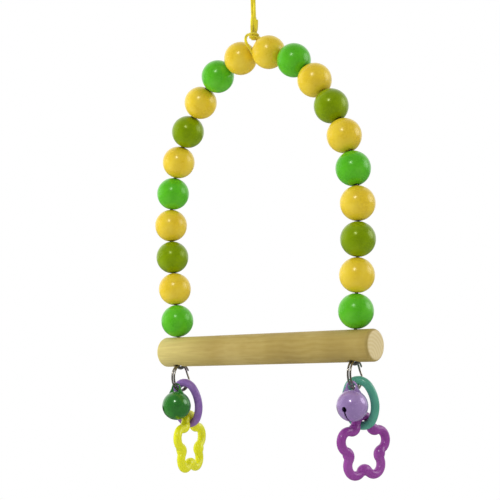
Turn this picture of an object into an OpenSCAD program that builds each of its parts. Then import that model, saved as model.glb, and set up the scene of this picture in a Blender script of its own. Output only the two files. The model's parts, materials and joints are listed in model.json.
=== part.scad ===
// A bird swing: a wire arch threaded with wooden beads carries a perch and hangs from a knotted cord.
// A split ring under each end of the perch holds a jingle bell and a chain of two plastic links.
// Millimetres, +Z up, +X along the perch. The origin is where a hook holds the cord, inside its top loop.

/* [Arch] */
// Thickness of the arch's steel wire
wire_d = 2; // [1.6:0.1:2.4]
// Radius of the wire over the top of the arch
crown_r = 50.2; // [46:0.2:56]
// Half angle of the top curve, in degrees
crown_angle = 48; // [44:1:52]
// Radius of the wire at the shoulders
shoulder_r = 126.6; // [118:0.2:134]
// Slope of the legs from level, in degrees
leg_angle = 94.3; // [92:0.1:96]
// Radius of the eye at the foot of each leg, to the middle of its wire
eye_r = 3.1; // [3:0.1:3.4]

/* [Beads] */
// Diameter of a wooden bead
bead_d = 19.7; // [17:0.1:20.4]
// Bore of a bead
bead_bore = 4; // [3.8:0.1:5]
// Gap between neighbouring beads
bead_gap = 0.15; // [0.1:0.05:0.4]
// Distance along the wire from the middle of the arch to the first bead's centre
first_bead = 10.85; // [10.8:0.05:11.6]

/* [Perch] */
// Diameter of the perch
perch_d = 18; // [14:0.5:22]
// How far the perch reaches past the wire at each end
perch_over = 13.2; // [8:0.2:30]
// How far the perch reaches further on the right
perch_shift = 1.2; // [0:0.1:3]
// Rounding of the perch's ends
perch_round = 2; // [0.5:0.1:4]
// Clearance round the wire in the perch
perch_hole_gap = 0.3; // [0.2:0.05:0.5]
// How far the split ring's top goes up into the perch
ring_recess = 1.8; // [1:0.1:2.4]

/* [Hanger] */
// Thickness of one strand of cord
cord_d = 1.5; // [1.2:0.1:1.6]
// Height from the wire's middle to the hook
hang_h = 60; // [60:1:60]
// Height of the knot's top above the wire's middle
knot_top = 20.7; // [20.3:0.1:20.9]
// Radius of the knot's domed top
knot_r = 2.5; // [2.2:0.1:2.8]
// Radius of the turn below the knot
turn_r = 3.3; // [2.8:0.1:3.8]

/* [Split rings] */
// Outer diameter of a split ring
ring_d = 17; // [16:0.5:19]
// Thickness of its wire
ring_wire = 1.1; // [1:0.05:1.2]
// Gap between its two turns
ring_gap = 0.44; // [0.42:0.01:0.6]

/* [Bells] */
// Diameter of a bell
bell_d = 17.4; // [15:0.2:18]
// Thickness of a bell's sheet metal
bell_wall = 0.6; // [0.5:0.1:1]
// Width of the slit
bell_slit = 1.1; // [0.8:0.1:1.6]
// Diameter of the hole at each end of the slit
bell_hole = 3; // [2.4:0.2:4]
// Inner radius of the ear that hangs on the split ring
ear_r = 2.2; // [2.2:0.05:2.6]
// Thickness of the ear
ear_wire = 1.2; // [1:0.1:1.6]
// Diameter of the pellet
pellet_d = 5; // [3:0.5:7]

/* [Links] */
// Thickness of the plastic links
link_d = 4.7; // [4.2:0.1:4.8]
// Outer height of an oval link
oval_h = 30.2; // [29.6:0.2:33]
// Outer width of an oval link
oval_w = 22; // [21:0.5:24]
// Radius of an oval link's ends, to the middle of its thickness
oval_end_r = 7; // [6.6:0.1:7.4]
// Outer radius of a star link's lobes from the star's centre
star_r = 19.2; // [18.4:0.2:20.4]
// Radius of a lobe, to the middle of its thickness
lobe_r = 5.4; // [4.9:0.1:5.8]
// Radius from the star's centre to the bottom of a notch, to the middle of its thickness
notch_r = 12.5; // [12:0.1:13.1]

/* [Hanging places] */
// How far up the split ring the oval link hangs from its lowest point, in degrees
oval_rest = 45; // [40:1:50]
// How far up the split ring the bell hangs on the other side, in degrees
bell_rest = 40; // [38:1:44]
// Clearance between a bell and the star link that it holds off
bell_gap = 1.2; // [1.2:0.1:2]

/* [Left toy] */
// Turn of the split ring about the upright, in degrees
left_ring_turn = 96; // [92:1:100]
// Turn of the oval link
left_oval_turn = 6; // [3:1:9]
// Turn of the star link
left_star_turn = 105; // [101:1:109]
// Turn of the bell's slit
left_slit_turn = 60; // [0:5:180]

/* [Right toy] */
// Turn of the split ring about the upright, in degrees
right_ring_turn = 99; // [95:1:103]
// Turn of the oval link
right_oval_turn = 9; // [6:1:12]
// Turn of the star link
right_star_turn = 80; // [76:1:84]
// Turn of the bell's slit
right_slit_turn = 92; // [0:1:180]

/* [Hidden] */
$fn = 64;

// Every cut runs past its surface by this much
overrun = 1;
// Clearance at rest where one hanging piece sits on another
seat_gap = 0.3;
// The oval link sits a little freer on the two turns of its ring
hang_gap = 0.45;
// Clearance between an oval link and the star link that crosses it a little aslant
link_gap = 0.5;
// Degrees in a radian
radian = 180 / PI;
// Beads on each side of the arch
bead_count = 10;
// Colours from the middle of the arch outwards, which then repeat
bead_colours = ["gold", "limegreen", "gold", "olivedrab"];

// The wire's path, by its length from the middle of the arch
crown_len = crown_r * crown_angle / radian;
leg_start = crown_len + shoulder_r * (leg_angle - crown_angle) / radian;
function along(a) = [cos(a), 0, -sin(a)];
function outward(a) = [sin(a), 0, cos(a)];
function wire_angle(s) =
    s < crown_len ? s / crown_r * radian
    : s < leg_start ? crown_angle + (s - crown_len) / shoulder_r * radian
    : leg_angle;
crown_centre = [0, 0, -hang_h - crown_r];
shoulder_centre = crown_centre + (crown_r - shoulder_r) * outward(crown_angle);
leg_top = shoulder_centre + shoulder_r * outward(leg_angle);
function wire_point(s) =
    s < crown_len ? crown_centre + crown_r * outward(wire_angle(s))
    : s < leg_start ? shoulder_centre + shoulder_r * outward(wire_angle(s))
    : leg_top + (s - leg_start) * along(leg_angle);

// On the curves a bead's bore is centred on the bow of the wire inside it
bead_step = bead_d + bead_gap;
function local_r(s) = s < crown_len ? crown_r : shoulder_r;
function bead_bow(s) = s < leg_start ? pow(bead_d / 2, 2) / (4 * local_r(s)) : 0;
function chord_len(s) =
    2 * local_r(s) * asin(bead_step / (2 * (local_r(s) - bead_bow(s)))) / radian;
function next_place(s) = s + (s < leg_start ? chord_len(s) : bead_step);
function bead_place(i) = i == 1 ? first_bead : next_place(bead_place(i - 1));
function bead_centre(s) = wire_point(s) - bead_bow(s) * outward(wire_angle(s));

// Spacing of a split ring's two turns
ring_pitch = ring_wire + ring_gap;

// The perch hangs under the last beads, and the wire's eyes carry it
perch_z = bead_centre(bead_place(bead_count))[2] - bead_step / 2 - bead_gap / 2 - perch_d / 2;
perch_under = perch_z - perch_d / 2;
// Height of a split ring's top over the eye's wire that it sits on
ring_seat = eye_r
    - sqrt(pow(eye_r - wire_d / 2 - ring_wire / 2 - seat_gap, 2) - pow(ring_pitch / 2, 2));
eye_foot_z = perch_under + ring_recess - ring_wire / 2 - ring_seat;
leg_reach = (leg_top[2] - eye_foot_z - eye_r) / sin(leg_angle);
eye_centre = leg_top + leg_reach * along(leg_angle);
eye_x = eye_centre[0];
perch_len = 2 * (eye_x + perch_over);
mouth_r = eye_r + wire_d / 2 + perch_hole_gap;
mouth_top_z = eye_foot_z + 2 * eye_r + wire_d / 2 + perch_hole_gap;

// Heights and sideways places in a toy's own upright plane, from the split ring's centre
ring_r = (ring_d - ring_wire) / 2;
ring_z = eye_foot_z + ring_seat - ring_r;
// The bell's ear hangs this much lower than the middle of the ring's wire
ear_drop = 0.4;
ear_mid_r = ear_r + ear_wire / 2;
ear_height = bell_d / 2 + ear_r - ring_wire / 2;
oval_seat_r = ring_r - ring_wire / 2 - link_d / 2 - hang_gap;
oval_x = oval_seat_r * sin(oval_rest);
oval_top_z = ring_z - oval_seat_r * cos(oval_rest);
oval_half_h = (oval_h - link_d) / 2;
oval_half_w = (oval_w - link_d) / 2;
oval_len = 2 * oval_half_h;
bell_x = -ring_r * sin(bell_rest);
bell_pivot_z = ring_z - ring_r * cos(bell_rest);
bell_z = bell_pivot_z - ear_drop - ear_height;

// A star link has five lobes joined by five notches, all arcs that run smoothly into each other
lobe_count = 5;
half_lobe = 180 / lobe_count;
lobe_out = star_r - link_d / 2 - lobe_r;
notch_arc_r =
    (pow(lobe_r, 2) - pow(lobe_out, 2) - pow(notch_r, 2) + 2 * lobe_out * notch_r * cos(half_lobe))
    / (2 * (notch_r - lobe_out * cos(half_lobe) - lobe_r));
notch_out = notch_r + notch_arc_r;
lobe_span = atan2(notch_out * sin(half_lobe), notch_out * cos(half_lobe) - lobe_out);
// The oval link's foot sits as far up in the star's top lobe as the lobe's neck and its top let it
neck_room = pow(notch_arc_r + link_d + link_gap, 2) - pow(notch_out * sin(half_lobe), 2);
foot_height = min(notch_out * cos(half_lobe) - sqrt(max(0, neck_room)),
    lobe_out + lobe_r - link_d - link_gap);

// The bell keeps the star's top lobe off, so the oval link leans away from it by this angle
lobe_reach = bell_d / 2 + lobe_r + link_d / 2 + bell_gap;
lobe_dx = oval_x - bell_x;
lobe_dz = oval_top_z + lobe_out - foot_height - bell_z;
lobe_near = norm([lobe_dx, lobe_dz]);
lean = atan2(lobe_dz, lobe_dx)
    + asin((pow(lobe_reach, 2) - pow(lobe_near, 2) - pow(oval_len, 2)) / (2 * oval_len * lobe_near));
foot_out = oval_len * sin(lean);
oval_foot_z = oval_top_z - oval_len * cos(lean);
star_z = oval_foot_z - foot_height;

// A tube is swept square to a route that lies in a plane with the given normal, and may close on itself
cord_side_count = 8;
// Sides of the wire arch and of the plastic links
bar_side_count = 12;
function unit(v) = v / norm(v);
function route_dir(p, i, closed) =
    let (last = len(p) - 1)
        closed ? unit(p[(i + 1) % len(p)] - p[(i + last) % len(p)])
        : unit(p[min(i + 1, last)] - p[max(i - 1, 0)]);
function tube_ring(c, t, n, r, sides) =
    [for (k = [0 : sides - 1])
        let (a = 360 * k / sides)
            c + r * (cos(a) * n + sin(a) * unit(cross(t, n)))];
function tube_points(p, n, r, sides, closed) =
    [for (i = [0 : len(p) - 1]) each tube_ring(p[i], route_dir(p, i, closed), n, r, sides)];
function tube_walls(rings, sides, closed) =
    [for (i = [0 : rings - (closed ? 1 : 2)], k = [0 : sides - 1], half = [0, 1])
        let (a = i * sides + k, b = i * sides + (k + 1) % sides,
            c = (i + 1) % rings * sides + k, d = (i + 1) % rings * sides + (k + 1) % sides)
            half == 0 ? [a, b, c] : [b, d, c]];
function tube_caps(rings, sides) =
    [for (k = [1 : sides - 2], end = [0, 1])
        let (base = end * (rings - 1) * sides)
            end == 0 ? [base, base + k + 1, base + k] : [base, base + k, base + k + 1]];
module tube(p, n, d, sides, closed = false) {
    polyhedron(
        points = tube_points(p, n, d / 2, sides, closed),
        faces = concat(tube_walls(len(p), sides, closed), closed ? [] : tube_caps(len(p), sides)));
}
function flip_x(p) = [for (i = [len(p) - 1 : -1 : 0]) [-p[i][0], p[i][1], p[i][2]]];
function flip_y(p) = [for (i = [len(p) - 1 : -1 : 0]) [p[i][0], -p[i][1], p[i][2]]];

// The hanger's two strands and the loop at their top, left half from the knot to the middle
cord_half = [[-0.8, 0, -39], [-0.8, 0, -35], [-0.8, 0, -31], [-0.8, 0, -27], [-0.8, 0, -23],
    [-1, 0, -19], [-1.5, 0, -15.5], [-2.3, 0, -12], [-3.1, 0, -9], [-3.7, 0, -6.2],
    [-4, 0, -4], [-3.8, 0, -2], [-3, 0, -0.5], [-1.6, 0, 0.4]];
cord_top = [[0, 0, 0.75]];
cord_route = concat(cord_half, cord_top, flip_x(cord_half));
// The loop round the wire, front half from the knot to under the wire
loop_half = [[0, -2, -49.7], [0, -4, -49.8], [0, -6, -50.4], [0, -7.6, -51.8], [0, -8.2, -53.8],
    [0, -7.4, -55.6], [0, -5.6, -57.2], [0, -3.8, -58.8], [0, -2.4, -60.2], [0, -1.3, -61.4]];
loop_foot = [[0, 0, -61.9]];
loop_route = concat(loop_half, loop_foot, flip_y(loop_half));

module hanger_cord() {
    color("yellow")
        tube(cord_route, [0, 1, 0], cord_d, cord_side_count);
}

module wire_loop() {
    color("yellow")
        tube(loop_route, [1, 0, 0], cord_d, cord_side_count);
}

// The knot turns on the cord about the middle of its domed top
knot_z = -hang_h + knot_top - knot_r;
// Length of the knot's plain part above its turns
barrel_h = 5.4;
// Turns of cord round the knot's foot, and the gap between them
turn_count = 3;
turn_gap = 0.1;
turn_pitch = cord_d + turn_gap;
// Length of the cut tail and its turn about the upright, in degrees
tail_len = 6;
tail_turn_angle = 38;
module hanger_knot() {
    color("yellow") {
        translate([0, 0, knot_z])
            sphere(r = knot_r);
        translate([0, 0, knot_z - barrel_h - turn_count * turn_pitch + cord_d / 2])
            cylinder(r = knot_r, h = barrel_h + turn_count * turn_pitch - cord_d / 2);
        for (i = [1 : turn_count])
            translate([0, 0, knot_z - barrel_h - (i - 0.5) * turn_pitch + cord_d / 2])
                rotate_extrude()
                    translate([turn_r - cord_d / 2, 0])
                        circle(d = cord_d);
        rotate([0, 0, tail_turn_angle])
            translate([knot_r + cord_d / 4, 0, knot_z + knot_r / 2 - tail_len])
                cylinder(d = cord_d, h = tail_len);
    }
}

// A bead is threaded on the wire square to its bore
module bead(side, i) {
    s = bead_place(i);
    p = bead_centre(s);
    color(bead_colours[(i - 1) % len(bead_colours)])
        translate([side * p[0], 0, p[2]])
            rotate([0, side * (90 + wire_angle(s)), 0])
                difference() {
                    sphere(d = bead_d);
                    cylinder(d = bead_bore, h = bead_d + 2 * overrun, center = true);
                }
}

// Each leg ends in an eye: a short bend to one side, then most of a circle back round to it
eye_bend_r = 1.6;
eye_bend_rise = sqrt(eye_r * eye_r + 2 * eye_bend_r * eye_r);
eye_bend_span = atan2(eye_bend_rise, eye_bend_r);
eye_sweep_angle = 300;
eye_step_count = 20;
eye_bend_count = 4;
function in_eye(w, h) = eye_centre - w * outward(leg_angle) - h * along(leg_angle);
eye_route = concat(
    [for (k = [0 : eye_step_count])
        let (a = eye_bend_span - eye_sweep_angle * (1 - k / eye_step_count))
            in_eye(eye_r * cos(a), eye_r * sin(a))],
    [for (k = [1 : eye_bend_count])
        let (a = 180 + eye_bend_span * (1 - k / eye_bend_count))
            in_eye(eye_bend_r * (1 + cos(a)), eye_bend_rise + eye_bend_r * sin(a))]);

// The wire's own route, right half from its tip in the eye to the middle of the arch
bend_step_angle = 4;
crown_steps = round(crown_angle / bend_step_angle);
shoulder_steps = round((leg_angle - crown_angle) / bend_step_angle);
wire_half = concat(
    eye_route,
    [for (k = [shoulder_steps : -1 : 1])
        wire_point(crown_len + (leg_start - crown_len) * k / shoulder_steps)],
    [for (k = [crown_steps : -1 : 1]) wire_point(crown_len * k / crown_steps)]);
wire_route = concat(wire_half, [wire_point(0)], flip_x(wire_half));

module wire_arch() {
    color("silver")
        tube(wire_route, [0, 1, 0], wire_d, bar_side_count);
}

module perch_holes() {
    translate(leg_top)
        rotate([0, 90 + leg_angle, 0])
            cylinder(r = wire_d / 2 + perch_hole_gap, h = leg_reach);
    translate([eye_x, 0, perch_under - overrun])
        cylinder(r = mouth_r, h = mouth_top_z - perch_under + overrun);
}

module perch() {
    color("burlywood")
        difference() {
            translate([perch_shift - perch_len / 2, 0, perch_z])
                rotate([0, 90, 0])
                    rotate_extrude()
                        perch_profile();
            perch_holes();
            mirror([1, 0, 0])
                perch_holes();
        }
}

module perch_profile() {
    half = perch_d / 2 - perch_round;
    square([perch_d / 2 - perch_round, perch_len]);
    translate([0, perch_round])
        square([perch_d / 2, perch_len - 2 * perch_round]);
    for (y = [perch_round, perch_len - perch_round])
        translate([half, y])
            circle(r = perch_round);
}

// A split ring's wire: two flat turns joined by one slanting step, drawn from its lowest point
ring_side_count = 6;
// Rings of the tube in each turn of the wire
ring_step_count = 24;
// Half the angle of the step between the turns, and of the notch between the wire's ends
step_angle = 24;
end_angle = 30;
// The step lies this far round from the lowest point, away from both hanging places
step_place_angle = 90;
function ring_angle(k) = end_angle + (720 - 2 * end_angle) * k / (2 * ring_step_count);
function turn_share(t) = max(-1, min(1, (t - 360) / step_angle));
function ring_wire_point(t) =
    let (a = t + step_place_angle)
        [ring_r * sin(a), turn_share(t) * ring_pitch / 2, -ring_r * cos(a)];
ring_route = [for (k = [0 : 2 * ring_step_count]) ring_wire_point(ring_angle(k))];
ring_gaps = [for (i = [0 : len(ring_route) - 1], j = [0 : len(ring_route) - 1])
    if (abs(ring_angle(i) - ring_angle(j)) > 180) norm(ring_route[i] - ring_route[j]) - ring_wire];
echo(split_ring_least_gap = min(ring_gaps));

module split_ring() {
    color("silver")
        translate([0, 0, ring_z])
            tube(ring_route, [0, 1, 0], ring_wire, ring_side_count);
}

// Metal left between each of the slit's end holes and the seam at the bell's middle
seam_web = 0.2345;
hole_dip_angle = asin((bell_hole / 2 + seam_web) / (bell_d / 2));
// The ear stands on a flat web that leaves the shell this far round from its top, in degrees
web_foot_angle = 42;
web_top_share = 0.95;
web_thick_share = 0.85;
// The bell hangs by its ear on the other side of the split ring from the oval link
module bell_shell() {
    difference() {
        children();
        sphere(d = bell_d - 2 * bell_wall);
    }
}

module upper_half() {
    translate([-bell_d, -bell_d, 0])
        cube([2 * bell_d, 2 * bell_d, 2 * bell_d]);
}

module bell_ear() {
    translate([0, 0, ear_height])
        rotate([0, 90, 0])
            rotate_extrude()
                translate([ear_mid_r, 0])
                    circle(d = ear_wire);
    foot = bell_d / 2 * [sin(web_foot_angle), cos(web_foot_angle)];
    top = [(ear_r + ear_wire) * web_top_share, ear_height];
    rotate([90, 0, 90])
        linear_extrude(ear_wire * web_thick_share, center = true)
            difference() {
                polygon([[-foot[0], foot[1]], foot, top, [-top[0], top[1]]]);
                translate([0, ear_height])
                    circle(r = ear_r + ear_wire / 2);
            }
}

module bell_top(colour) {
    color(colour)
        translate([bell_x, 0, bell_z])
            intersection() {
                bell_shell() {
                    sphere(d = bell_d);
                    bell_ear();
                }
                upper_half();
            }
}

module bell_bottom(colour, turn) {
    color(colour)
        translate([bell_x, 0, bell_z])
            rotate([0, 0, turn])
                difference() {
                    bell_shell()
                        sphere(d = bell_d);
                    upper_half();
                    translate([-bell_d, -bell_slit / 2, -bell_d])
                        cube([2 * bell_d, bell_slit, bell_d - bell_d / 2 * sin(hole_dip_angle)]);
                    for (side = [0, 180])
                        rotate([0, 90 + hole_dip_angle, side])
                            cylinder(d = bell_hole, h = bell_d);
                }
}

module bell_pellet() {
    color("dimgray")
        translate([bell_x, 0, bell_z - bell_d / 2 + bell_wall + seat_gap + pellet_d / 2])
            sphere(d = pellet_d);
}

// Points of an arc in the XZ plane, from one angle above level towards another, without its last point
function arc(c, r, from, to, steps) =
    [for (k = [0 : steps - 1])
        let (a = from + (to - from) * k / steps)
            [c[0] + r * cos(a), 0, c[1] + r * sin(a)]];
function turned(p, a) =
    [for (q = p) [q[0] * cos(a) - q[2] * sin(a), 0, q[0] * sin(a) + q[2] * cos(a)]];

// An oval link: two end arcs joined by two flatter side arcs
side_r = (pow(oval_half_w, 2) + pow(oval_half_h - oval_end_r, 2) - pow(oval_end_r, 2))
    / (2 * (oval_half_w - oval_end_r));
side_span = atan((oval_half_h - oval_end_r) / (side_r - oval_half_w));
end_step_count = 14;
side_step_count = 8;
oval_quarter = concat(
    arc([oval_half_w - side_r, 0], side_r, -side_span, side_span, side_step_count),
    arc([0, oval_half_h - oval_end_r], oval_end_r, side_span, 180 - side_span, end_step_count));
module oval_link(colour) {
    color(colour)
        translate([0, 0, oval_top_z])
            rotate([lean, 0, 0])
                translate([0, 0, -oval_half_h])
                    tube(concat(oval_quarter, turned(oval_quarter, 180)), [0, 1, 0], link_d,
                        bar_side_count, true);
}

lobe_step_count = 10;
notch_step_count = 6;
one_lobe = concat(
    arc([lobe_out, 0], lobe_r, -lobe_span, lobe_span, lobe_step_count),
    arc(notch_out * [cos(half_lobe), sin(half_lobe)], notch_arc_r,
        lobe_span + 180, 2 * half_lobe - lobe_span + 180, notch_step_count));
star_route = [for (i = [0 : lobe_count - 1]) each turned(one_lobe, 90 + 2 * half_lobe * i)];
module star_link(colour) {
    color(colour)
        translate([0, 0, star_z])
            tube(star_route, [0, 1, 0], link_d, bar_side_count, true);
}

// Places a hanging piece of one side's toy under its eye
module hang(side, turn) {
    translate([side * eye_x, 0, 0])
        rotate([0, 0, turn])
            children();
}

// Carries an oval link to its place on the split ring
module on_ring(ring_turn, turn) {
    rotate([0, 0, ring_turn])
        translate([oval_x, 0, 0])
            rotate([0, 0, turn - ring_turn])
                children();
}

// Carries a star link to the foot of its oval link
module on_foot(oval_turn, turn) {
    translate([0, foot_out, 0])
        rotate([0, 0, turn - oval_turn])
            children();
}

hanger_cord();
hanger_knot();
wire_loop();
wire_arch();
perch();
for (i = [1 : bead_count]) {
    bead(-1, i);
    bead(1, i);
}
hang(-1, left_ring_turn) split_ring();  // split_ring_left
hang(1, right_ring_turn) split_ring();  // split_ring_right
hang(-1, left_ring_turn) bell_top("darkgreen");  // bell_top_left
hang(1, right_ring_turn) bell_top("plum");  // bell_top_right
hang(-1, left_ring_turn) bell_bottom("darkgreen", left_slit_turn - left_ring_turn);  // bell_bottom_left
hang(1, right_ring_turn) bell_bottom("plum", right_slit_turn - right_ring_turn);  // bell_bottom_right
hang(-1, left_ring_turn) bell_pellet();  // bell_pellet_left
hang(1, right_ring_turn) bell_pellet();  // bell_pellet_right
hang(-1, 0) on_ring(left_ring_turn, left_oval_turn) oval_link("indigo");  // oval_link_left
hang(1, 0) on_ring(right_ring_turn, right_oval_turn) oval_link("mediumaquamarine");  // oval_link_right
hang(-1, 0) on_ring(left_ring_turn, left_oval_turn)  // star_link_left
        on_foot(left_oval_turn, left_star_turn) star_link("yellow");
hang(1, 0) on_ring(right_ring_turn, right_oval_turn)  // star_link_right
        on_foot(right_oval_turn, right_star_turn) star_link("mediumorchid");
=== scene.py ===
import json
import math
import bpy
import numpy as np
from mathutils import Matrix


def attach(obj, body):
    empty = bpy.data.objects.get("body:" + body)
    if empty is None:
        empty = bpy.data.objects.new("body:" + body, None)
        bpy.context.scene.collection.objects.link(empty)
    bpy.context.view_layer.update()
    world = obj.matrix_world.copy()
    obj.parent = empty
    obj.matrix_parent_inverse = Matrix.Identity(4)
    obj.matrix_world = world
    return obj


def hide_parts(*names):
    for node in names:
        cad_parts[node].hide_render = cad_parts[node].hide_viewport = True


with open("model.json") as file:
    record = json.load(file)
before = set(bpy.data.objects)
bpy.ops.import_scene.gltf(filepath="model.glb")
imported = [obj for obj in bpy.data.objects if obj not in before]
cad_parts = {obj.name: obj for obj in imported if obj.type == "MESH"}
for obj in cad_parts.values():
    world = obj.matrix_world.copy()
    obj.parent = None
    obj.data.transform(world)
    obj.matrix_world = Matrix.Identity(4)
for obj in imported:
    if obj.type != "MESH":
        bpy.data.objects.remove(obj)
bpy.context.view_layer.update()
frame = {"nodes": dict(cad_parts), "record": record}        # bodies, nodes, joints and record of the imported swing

mm = 0.001               # lengths are written in millimetres, and the scene is in metres
print("frame loaded,", len(frame["nodes"]), "nodes")

# The camera stands where the photograph was taken: in front, to the right and a little low.
cameraSet = {
    "spot": (0.444733, -0.567900, -0.243436),
    "right": (0.78062, 0.62446, -0.02617),
    "up": (0.07704, -0.05458, 0.99553),
    "back": (0.62024, -0.77915, -0.09071),
    "lens": 88.988,
    "sensor": 36.0,
    "near": 0.01,
    "far": 50,
}


def turnedTo(right, up, back, spot):
    # a placing matrix: its columns are the three directions, and then the spot
    turn = Matrix([list(row) for row in np.array([right, up, back]).T]).to_4x4()
    turn.translation = spot
    return turn


def makeCamera(c):
    data = bpy.data.cameras.new("photoCamera")
    data.lens = c["lens"]
    data.sensor_width = c["sensor"]
    data.sensor_height = c["sensor"]
    data.sensor_fit = "HORIZONTAL"
    data.clip_start = c["near"]
    data.clip_end = c["far"]
    view = bpy.data.objects.new("photoCamera", data)
    view.matrix_world = turnedTo(c["right"], c["up"], c["back"], c["spot"])
    bpy.context.scene.collection.objects.link(view)
    bpy.context.scene.camera = view


makeCamera(cameraSet)


# Shapes are worked out as whole arrays of points: a profile carried along a route, or spun round.

def unitRows(a):
    # each row divided by its own length
    return a / np.linalg.norm(a, axis=-1, keepdims=True)


def alongRoute(route, closed):
    # direction at a point = next point minus the one before, made one long
    if closed:
        return unitRows(np.roll(route, -1, 0) - np.roll(route, 1, 0))
    ends = np.vstack([route[:1], route, route[-1:]])
    return unitRows(ends[2:] - ends[:-2])


def runLength(route):
    # distance travelled along the route up to each point
    steps = np.linalg.norm(np.diff(route, axis=0), axis=1)
    return np.concatenate([[0.0], np.cumsum(steps)])


def finer(route, step):
    # points about one step apart on a smooth curve through the route: each is a cubic blend of the
    # two route points before it and the two after it
    p = np.vstack([2 * route[0] - route[1], route, 2 * route[-1] - route[-2]])
    gaps = np.linalg.norm(np.diff(route, axis=0), axis=1)
    parts = np.maximum(1, np.round(gaps / step)).astype(int)
    span = np.repeat(np.arange(len(parts)), parts)
    t = np.arange(len(span)) - np.repeat(np.cumsum(parts) - parts, parts)
    t = (t / np.repeat(parts, parts))[:, None]
    a, b, c, d = p[span], p[span + 1], p[span + 2], p[span + 3]
    curve = 0.5 * (2 * b + (c - a) * t + (2 * a - 5 * b + 4 * c - d) * t ** 2
                   + (3 * b - a - 3 * c + d) * t ** 3)
    return np.vstack([curve, route[-1:]])


def gridFaces(rows, columns, closedRows, closedColumns):
    # the four corners of every cell of a grid of points, and their places on a sheet one by one
    i, k = np.meshgrid(np.arange(rows if closedRows else rows - 1),
                       np.arange(columns if closedColumns else columns - 1), indexing="ij")
    i, k = i.ravel(), k.ravel()
    corners = [(i, k), (i, k + 1), (i + 1, k + 1), (i + 1, k)]
    faces = np.stack([(a % rows) * columns + b % columns for a, b in corners], 1)
    sheet = np.stack([np.stack([a / rows, b / columns], 1) for a, b in corners], 1)
    return faces, sheet


def carryProfile(route, side, radius, sides, closed=False, twist=None):
    # point = route + r * (cos(angle) * across + sin(angle) * other)
    # with a twist, r dips between the strands, which wind once round in each lay length
    tangent = alongRoute(route, closed)
    side = np.broadcast_to(np.asarray(side, float), route.shape)
    across = unitRows(side - np.sum(side * tangent, 1, keepdims=True) * tangent)
    other = np.cross(tangent, across)
    angle = np.arange(sides) * 2 * math.pi / sides
    run = runLength(route)
    r = np.reshape(radius, (-1, 1)) * np.ones((1, sides))
    if twist:
        wound = 2 * math.pi * run[:, None] / (twist["layLength"] * mm)
        r = r * (1 - twist["groove"] * (1 - np.abs(np.cos(twist["strands"] / 2 * (angle - wound)))))
    points = route[:, None, :] + r[..., None] * (np.cos(angle)[None, :, None] * across[:, None, :]
                                                 + np.sin(angle)[None, :, None] * other[:, None, :])
    points = points.reshape(-1, 3)
    # unrolled, the tube is a sheet as long as its route and as wide as its girth, in metres
    n, m = len(route), sides
    faces, sheet = gridFaces(n, m, closed, True)
    length = run[-1] if closed else run[-1] * (1 + 1 / (n - 1))
    sheet = sheet * np.array([length, 2 * math.pi * float(np.min(radius))])
    if closed:
        return [points, faces, sheet, None]
    # both ends close on a middle point
    points = np.vstack([points, route[:1], route[-1:]])
    k = np.arange(m)
    follows = (k + 1) % m
    caps = np.vstack([np.stack([np.full(m, n * m), follows, k], 1),
                      np.stack([np.full(m, n * m + 1), (n - 1) * m + k, (n - 1) * m + follows], 1)])
    return [points, faces, sheet, caps]


def spunProfile(radius, height, turns):
    # point = (radius * cos(angle), radius * sin(angle), height), with the profile closed on itself
    angle = np.arange(turns) * 2 * math.pi / turns
    points = np.stack([radius[:, None] * np.cos(angle), radius[:, None] * np.sin(angle),
                       np.broadcast_to(height[:, None], (len(height), turns))], 2)
    faces, sheet = gridFaces(len(radius), turns, True, True)
    return [points.reshape(-1, 3), faces, sheet, None]


def makePiece(name, parts, place=None, own=None, rim=None):
    # puts one or more arrays of points and faces into one mesh, with its sheet as the map "flow"
    # and, for its finish, its own place and how near each point is to a bore's rim, where painted shade goes
    points, loops, totals, sheets, start = [], [], [], [], 0
    for p, faces, sheet, caps in parts:
        points.append(p)
        loops.append((faces + start).ravel())
        totals.append(np.full(len(faces), 4))
        sheets.append(sheet.reshape(-1, 2))
        if caps is not None:
            loops.append((caps + start).ravel())
            totals.append(np.full(len(caps), 3))
            sheets.append(np.zeros((caps.size, 2)))
        start += len(p)
    points, sheets = np.vstack(points), np.vstack(sheets)
    loops, totals = np.concatenate(loops), np.concatenate(totals)
    local = points if own is None else own
    if place is not None:
        points = points @ place[0].T + place[1]
    mesh = bpy.data.meshes.new(name)
    mesh.vertices.add(len(points))
    mesh.vertices.foreach_set("co", points.ravel())
    mesh.loops.add(len(loops))
    mesh.loops.foreach_set("vertex_index", loops)
    mesh.polygons.add(len(totals))
    mesh.polygons.foreach_set("loop_start", np.concatenate([[0], np.cumsum(totals)[:-1]]))
    mesh.polygons.foreach_set("loop_total", totals)
    mesh.uv_layers.new(name="flow").data.foreach_set("uv", sheets.ravel())
    ownPlaces = mesh.attributes.new("ownPlace", "FLOAT_VECTOR", "POINT")
    ownPlaces.data.foreach_set("vector", local.ravel())
    if rim is not None:
        mesh.attributes.new("rim", "FLOAT", "POINT").data.foreach_set("value", rim)
    mesh.update(calc_edges=True)
    mesh.polygons.foreach_set("use_smooth", np.ones(len(totals), bool))
    piece = bpy.data.objects.new(name, mesh)
    bpy.context.scene.collection.objects.link(piece)
    return piece


def standIn(piece, body, slot, *nodes):
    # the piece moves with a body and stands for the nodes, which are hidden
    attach(piece, body)
    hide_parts(*nodes)
    return piece


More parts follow.
